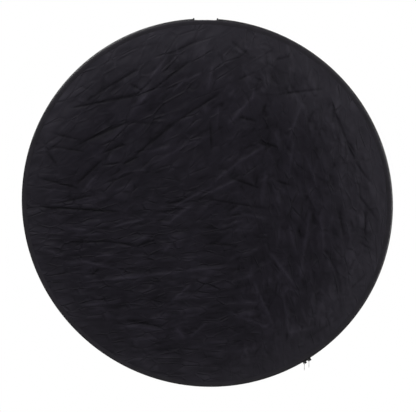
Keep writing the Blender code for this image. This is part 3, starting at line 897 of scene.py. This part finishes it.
def make_stitches(name, facing, radius, out, slope, material):
    """A row of lock stitches: short threads that dip at both ends."""
    count = int(2 * pi * radius / STITCH_PITCH)
    reach = STITCH_LENGTH / 2
    along = np.array([-reach, -0.75 * reach, 0.0, 0.75 * reach, reach])
    lift = np.array([-0.10, 0.06, 0.12, 0.06, -0.10]) * MM
    thick = np.array([0.4, 1.0, 1.0, 1.0, 0.4]) * STITCH_RADIUS
    turn = full_turn(STITCH_SIDES)
    radial = thick[:, None] * np.cos(turn)
    outward = lift[:, None] + thick[:, None] * np.sin(turn)
    tilted_radial = radial * cos(slope) + outward * sin(slope)
    tilted_out = outward * cos(slope) - radial * sin(slope)
    local = np.repeat(along, STITCH_SIDES)
    r = np.tile(radius + tilted_radial.ravel(), count)
    y = facing * np.tile(out + tilted_out.ravel(), count)
    angle = np.repeat(full_turn(count), len(local)) + np.tile(local, count) / radius
    points = polar(r, y, np.degrees(angle))
    faces = []
    for start in range(0, count * len(local), len(local)):
        faces += tube_faces(start, len(along), STITCH_SIDES)
    row = new_object(name, points, faces, material)
    make_outward(row)
    return place(row)


def make_hoop(materials):
    """Steel band, sewn sleeve and diffuser."""
    low, high = BAND_HIGH.x - BAND_THICKNESS, BAND_HIGH.x
    half = BAND_HIGH.y
    edge = BAND_EDGE
    outline = [
        (low, -half + edge), (low + edge, -half), (high - edge, -half), (high, -half + edge),
        (high, half - edge), (high - edge, half), (low + edge, half), (low, half - edge),
    ]
    strip_piece("hoop_band", "spring_steel", outline, FULL_RING, materials)
    outline = strip_outline(SLEEVE_LINE, SLEEVE_THICKNESS, mirror=True)
    sleeve = strip_piece("hoop_sleeve", "sleeve_fabric", outline, FULL_RING, materials)
    plain_sheet(
        "diffuser_panel", "diffuser_fabric", DIFFUSER_RADIUS, 0.0, -1, materials
    )
    ferrule = frame["nodes"]["hoop_ferrule"]
    ferrule.data.materials.clear()
    ferrule.data.materials.append(materials["spring_steel"])


def make_cover_side(facing_name, own_folds, materials):
    """One face of the cover with its lining, binding, stitching, zip tape and coil."""
    facing = FACINGS[facing_name]
    outline = strip_outline(BINDING_LINE, BINDING_THICKNESS)
    name = f"{facing_name}_binding"
    binding = strip_piece(name, "binding_tape", outline, FULL_RING, materials, facing)
    outline = strip_outline(TAPE_LINE, TAPE_THICKNESS)
    name = f"{facing_name}_zip_tape"
    tape = strip_piece(name, "zip_tape", outline, zipped_arc(), materials, facing, closed=False)
    coil = make_coil(facing_name, materials["zip_coil"])
    core = make_core(facing_name, materials["black_thread"])
    thread = materials["black_thread"]
    rows = [
        make_stitches(f"{facing_name}_{row}_stitching", facing, RIM_RADIUS + depth, out, slope, thread)
        for row, depth, out, slope in STITCH_ROWS
    ]
    face_cloth = materials[FACE_OF[facing_name].replace("face", "fabric")]
    face = cloth_face(facing_name, face_cloth, own_folds)
    name = LINING_OF[facing_name]
    slot_name = name.replace("lining", "fabric")
    plain_sheet(name, slot_name, LINING_RADIUS, facing * LINING_Y, facing, materials)


def make_top_hinge(materials):
    """The fabric hinge between the zip's ends, its two hems and the zip's end stops."""
    angles = np.linspace(TOP_ANGLE - HINGE_HALF_ANGLE, TOP_ANGLE + HINGE_HALF_ANGLE, 16)
    outline = strip_outline(HINGE_LINE, TAPE_THICKNESS, mirror=True)
    strip_piece("hinge_strip", "binding_tape", outline, angles, materials, closed=False)
    for side_name, side in (("right", -1), ("left", 1)):
        near, far = STOP_ANGLES
        angles = TOP_ANGLE + side * np.linspace(near, far, 6)
        stop = sweep(f"end_stop_{side_name}", STOP_OUTLINE, angles, 1, materials["zip_coil"], closed=False)
        soften(stop, 0.4 * MM)
        place(stop, [f"zip_stop_{side_name}"], body=f"{side_name}_half")
        angles = TOP_ANGLE + side * np.linspace(*HEM_ANGLES, 6)
        hem_outline = outline + (HEM_LIFT, 0)
        hem = sweep(f"hinge_hem_{side_name}", hem_outline, angles, 1, materials["binding_tape"], closed=False)
        place(hem, body=f"{side_name}_half")


def soften(piece, width):
    """Round a piece's sharp edges."""
    bevel = piece.modifiers.new("edges", "BEVEL")
    bevel.width = width
    bevel.segments = 2
    bevel.limit_method = "ANGLE"
    bevel.angle_limit = radians(40)
    apply_modifiers(piece)
    piece.data.set_sharp_from_angle(angle=radians(50))


def apply_modifiers(piece):
    """Keep a piece's mesh as its modifiers make it."""
    evaluated = piece.evaluated_get(bpy.context.evaluated_depsgraph_get())
    mesh = bpy.data.meshes.new_from_object(evaluated)
    piece.modifiers.clear()
    piece.data = mesh


# ---- sliders and pulls

def rounded(corners, radius, steps=4):
    """An outline with its corners rounded."""
    corners = [Vector(corner) for corner in corners]
    line = []
    for before, corner, after in zip([corners[-1], *corners], corners, [*corners[1:], corners[0]]):
        reach = min(radius, (before - corner).length / 2, (after - corner).length / 2)
        start = corner + (before - corner).normalized() * reach
        end = corner + (after - corner).normalized() * reach
        for step in range(steps + 1):
            t = step / steps
            line.append((1 - t) ** 2 * start + 2 * t * (1 - t) * corner + t * t * end)
    return line


def prism(name, corners, shift):
    """A flat outline of 3-D corners, extruded by a shift."""
    bm = bmesh.new()
    face = bm.faces.new([bm.verts.new(corner) for corner in corners])
    grown = bmesh.ops.extrude_face_region(bm, geom=[face])["geom"]
    moved = [item for item in grown if isinstance(item, bmesh.types.BMVert)]
    bmesh.ops.translate(bm, vec=shift, verts=moved)
    bmesh.ops.recalc_face_normals(bm, faces=bm.faces[:])
    mesh = bpy.data.meshes.new(name)
    bm.to_mesh(mesh)
    bm.free()
    solid = bpy.data.objects.new(name, mesh)
    bpy.context.collection.objects.link(solid)
    return solid


def carve(name, body, steps, edge, material):
    """Join shapes to a body or cut them from it, round its edges, and drop the tools."""
    for operation, tool in steps:
        boolean = body.modifiers.new(tool.name, "BOOLEAN")
        boolean.operation = operation
        boolean.object = tool
    apply_modifiers(body)
    for _, tool in steps:
        bpy.data.objects.remove(tool)
    body.data.shade_smooth()
    soften(body, edge)
    body.data.materials.clear()
    body.data.materials.append(material)
    body.name = name
    return body


def mirrored(half):
    """A closed outline of (across, along) from its half at positive across."""
    return half + [(-across, along) for across, along in half[::-1]]


def block(name, outline, foot, height, sense=1, corner_radius=0.0, steps=4):
    """An outline of (across, along) as a solid that stands up from a foot along X."""
    corners = [(0, across, along) for across, along in outline]
    if corner_radius:
        corners = rounded(corners, corner_radius, steps)
    corners = [(foot, across, sense * along) for _, across, along in corners]
    return prism(name, corners, (height, 0, 0))


def slider_plate(name, radii, nose_width, tail_width, sense):
    """A slider's plate, wide at the nose and narrower at the tail."""
    near, far = SLIDER_NOSE, SLIDER_NOSE + SLIDER_LENGTH
    half = [(nose_width, near), (nose_width, near + 0.45 * SLIDER_LENGTH), (tail_width, far)]
    return block(name, mirrored(half), radii[0], radii[1] - radii[0], sense, 1.6 * MM)


def slider_lip(side, foot, sense):
    """The rolled lip along one side of the top plate."""
    stations = [
        (SLIDER_HALF_WIDTH, SLIDER_NOSE + 1.2 * MM), (SLIDER_HALF_WIDTH, SLIDER_NOSE + 0.46 * SLIDER_LENGTH),
        (SLIDER_TAIL_HALF_WIDTH, SLIDER_NOSE + SLIDER_LENGTH - 1.0 * MM),
    ]
    outline = [(side * width, along) for width, along in stations]
    outline += [(side * (width - LIP_THICKNESS), along) for width, along in stations[::-1]]
    return block("lip", outline, LIP_RADIUS, foot + OVERLAP - LIP_RADIUS, sense)


def slider_arch(foot, sense):
    """The arch on the top plate: two legs and a flat crown."""
    rise, reach = ARCH_HEIGHT, ARCH_HALF_LENGTH
    room, span = rise - ARCH_THICKNESS, reach - ARCH_THICKNESS
    outline = [(0, -reach), (rise, -reach), (rise, reach), (0, reach)]
    outline += [(0, span), (room, span), (room, -span), (0, -span)]
    corners = [
        (foot - OVERLAP + height, -ARCH_HALF_WIDTH, sense * (ARCH_MIDDLE + along))
        for height, along in outline
    ]
    return prism("arch", corners, (0, 2 * ARCH_HALF_WIDTH, 0))


def slider_housing(foot, sense):
    """The locking spring's housing, which fills the arch uphill of the pull's bar."""
    bar = ARCH_MIDDLE - sense * PULL_SLIDE
    inside_leg = ARCH_MIDDLE + sense * (ARCH_HALF_LENGTH - ARCH_THICKNESS + OVERLAP)
    ends = sorted((bar + sense * HOUSING_GAP, inside_leg))
    outline = mirrored([(BOSS_HALF_WIDTH, along) for along in ends])
    return block("housing", outline, foot - OVERLAP, ARCH_HEIGHT - ARCH_THICKNESS + 2 * OVERLAP, sense)


def make_slider(side_name, sense, meeting, material):
    """A cast slider: two plates on a post, rolled side lips, the arch for the pull and its housing."""
    top = RIM_RADIUS + SLIDER_CLEARANCE
    crown = top + SLIDER_PLATE
    near, far = SLIDER_NOSE, SLIDER_NOSE + SLIDER_LENGTH
    post = mirrored([(POST_HALF_WIDTH, near + 0.3 * MM), (POST_HALF_WIDTH, near + POST_LENGTH)])
    boss = mirrored([(BOSS_HALF_WIDTH, near + 2.0 * MM), (BOSS_HALF_WIDTH, far - 0.6 * MM)])
    lower = SLIDER_LOWER_HALF_WIDTH
    inner = SLIDER_LOWER_RADII[0] + OVERLAP
    body = slider_plate("top", (top, crown), SLIDER_HALF_WIDTH, SLIDER_TAIL_HALF_WIDTH, sense)
    tools = [
        slider_plate("lower", SLIDER_LOWER_RADII, lower, lower, sense),
        block("post", post, inner, top + OVERLAP - inner, sense, 0.3 * MM),
        slider_lip(-1, top, sense),
        slider_lip(1, top, sense),
        slider_arch(crown, sense),
        slider_housing(crown, sense),
        block("boss", boss, crown - OVERLAP, BOSS_HEIGHT + OVERLAP, sense, 0.8 * MM),
    ]
    slider = carve(f"slider_{side_name}", body, [("UNION", tool) for tool in tools], 0.28 * MM, material)
    slider.data.transform(Matrix.Rotation(-meeting, 4, "Y"))
    return place(slider, [f"zip_slider_{side_name}"], body=f"slider_{side_name}")


def make_pull(side_name, pivot, material):
    """A nickel tab with a waist, an eye under its cross bar and a hole at its end."""
    half = [
        (PULL_SHOULDER, 0.0), (PULL_SHOULDER, -PULL_EYE_DEPTH), (PULL_WAIST, -PULL_WAIST_DEPTH),
        (PULL_END, -PULL_LENGTH + 2 * PULL_END), (PULL_END, -PULL_LENGTH),
    ]
    body = block("tab", mirrored(half), -PULL_THICKNESS / 2, PULL_THICKNESS, 1, PULL_END, 8)
    eye = [
        (PULL_EYE, CUT_REACH), (-PULL_EYE, CUT_REACH),
        (-PULL_EYE, -PULL_EYE_DEPTH), (PULL_EYE, -PULL_EYE_DEPTH),
    ]
    hole_start = (-CUT_REACH, 0, PULL_END - PULL_LENGTH)
    cuts = [
        ("DIFFERENCE", block("eye", eye, -CUT_REACH, 2 * CUT_REACH, 1, 1.0 * MM)),
        ("DIFFERENCE", round_bar("hole", PULL_HOLE, hole_start, (2 * CUT_REACH, 0, 0))),
        ("UNION", round_bar("bar", PULL_BAR, (0, -PULL_SHOULDER, 0), (0, 2 * PULL_SHOULDER, 0))),
    ]
    pull = carve(f"pull_{side_name}", body, cuts, 0.22 * MM, material)
    pull.data.transform(Matrix.Translation(pivot))
    return place(pull, [f"zip_pull_{side_name}"], body=f"pull_{side_name}")


def round_bar(name, radius, start, run):
    """A round bar along X or Y."""
    across = Vector((0, radius, 0) if run[0] else (radius, 0, 0))
    up = Vector((0, 0, radius))
    corners = [Vector(start) + across * cos(turn) + up * sin(turn) for turn in full_turn(24)]
    return prism(name, corners, run)


def make_zip_ends(materials):
    """Both sliders, nose to nose, and their hanging pulls."""
    pivots = {
        side: Vector(JOINTS[f"{side}_pull_swing"]["pos_m"]) for side in ("right", "left")
    }
    middle = (pivots["right"] + pivots["left"]) / 2
    meeting = atan2(middle.z, middle.x) + atan2(PULL_SLIDE, middle.length)
    for side, sense in (("right", 1), ("left", -1)):
        make_slider(side, sense, meeting, materials["black_lacquer"])
        make_pull(side, pivots[side], materials["nickel_plate"])


# ---- stage

def show_white(owner, plain_kind, white_kind, output_kind, **plain_values):
    """Show the camera plain white, and all other rays the plain shader."""
    owner.use_nodes = True
    tree = owner.node_tree
    tree.nodes.clear()
    seen = add_node(tree, "ShaderNodeLightPath").outputs["Is Camera Ray"]
    plain = add_node(tree, plain_kind, **plain_values).outputs[0]
    white = add_node(tree, white_kind, Color=(1, 1, 1, 1), Strength=1.0).outputs[0]
    mixed = add_node(tree, "ShaderNodeMixShader", seen, plain, white).outputs[0]
    add_node(tree, output_kind, Surface=mixed)


def make_stage():
    """A pale floor far below the disc, which shows as plain white."""
    bpy.ops.mesh.primitive_plane_add(size=FLOOR_SIZE, location=(0, 0, FLOOR_Z))
    floor = bpy.context.object
    floor.name = "floor"
    material = bpy.data.materials.new("floor")
    kinds = "ShaderNodeBsdfDiffuse", "ShaderNodeEmission", "ShaderNodeOutputMaterial"
    show_white(material, *kinds, Color=(0.5, 0.5, 0.5, 1))
    floor.data.materials.append(material)


def make_world():
    """White behind the disc, and a dim room for its surfaces to reflect."""
    world = bpy.data.worlds.new("room")
    bpy.context.scene.world = world
    kinds = "ShaderNodeBackground", "ShaderNodeBackground", "ShaderNodeOutputWorld"
    show_white(world, *kinds, Color=(1, 1, 1, 1), Strength=ROOM_LIGHT)


def add_soft_light(name, place_at, size, power):
    """A rectangular soft box that faces the disc's centre."""
    data = bpy.data.lights.new(name, "AREA")
    data.shape = "RECTANGLE"
    data.size, data.size_y = size
    data.energy = power
    light = bpy.data.objects.new(name, data)
    light.location = place_at
    light.rotation_euler = Vector(place_at).to_track_quat("Z", "Y").to_euler()
    bpy.context.collection.objects.link(light)


def add_camera():
    """A long lens a little to the right of the axis and above it."""
    data = bpy.data.cameras.new("camera")
    data.sensor_width = 36.0
    data.lens = data.sensor_width * CAMERA_DISTANCE / VIEW_WIDTH
    data.shift_x, data.shift_y = VIEW_SHIFT
    azimuth, elevation = radians(CAMERA_AZIMUTH), radians(CAMERA_ELEVATION)
    back = Vector((
        sin(azimuth) * cos(elevation),
        -cos(azimuth) * cos(elevation),
        sin(elevation),
    ))
    camera = bpy.data.objects.new("camera", data)
    camera.location = CAMERA_DISTANCE * back
    camera.rotation_euler = back.to_track_quat("Z", "Y").to_euler()
    bpy.context.collection.objects.link(camera)
    bpy.context.scene.camera = camera


def main():
    bpy.context.scene.view_settings.view_transform = "Standard"
    add_camera()
    make_world()
    make_stage()
    for light in SOFT_LIGHTS:
        add_soft_light(*light)
    materials = make_materials()
    make_hoop(materials)
    front_folds = [
        (x0 * MM, z0 * MM, x1 * MM, z1 * MM, height * OWN_FOLD_GAIN * MM, 0.0)
        for x0, z0, x1, z1, height in STORAGE_FOLDS
    ]
    make_cover_side("front", front_folds, materials)
    make_cover_side("back", [], materials)
    make_top_hinge(materials)
    make_zip_ends(materials)


main()
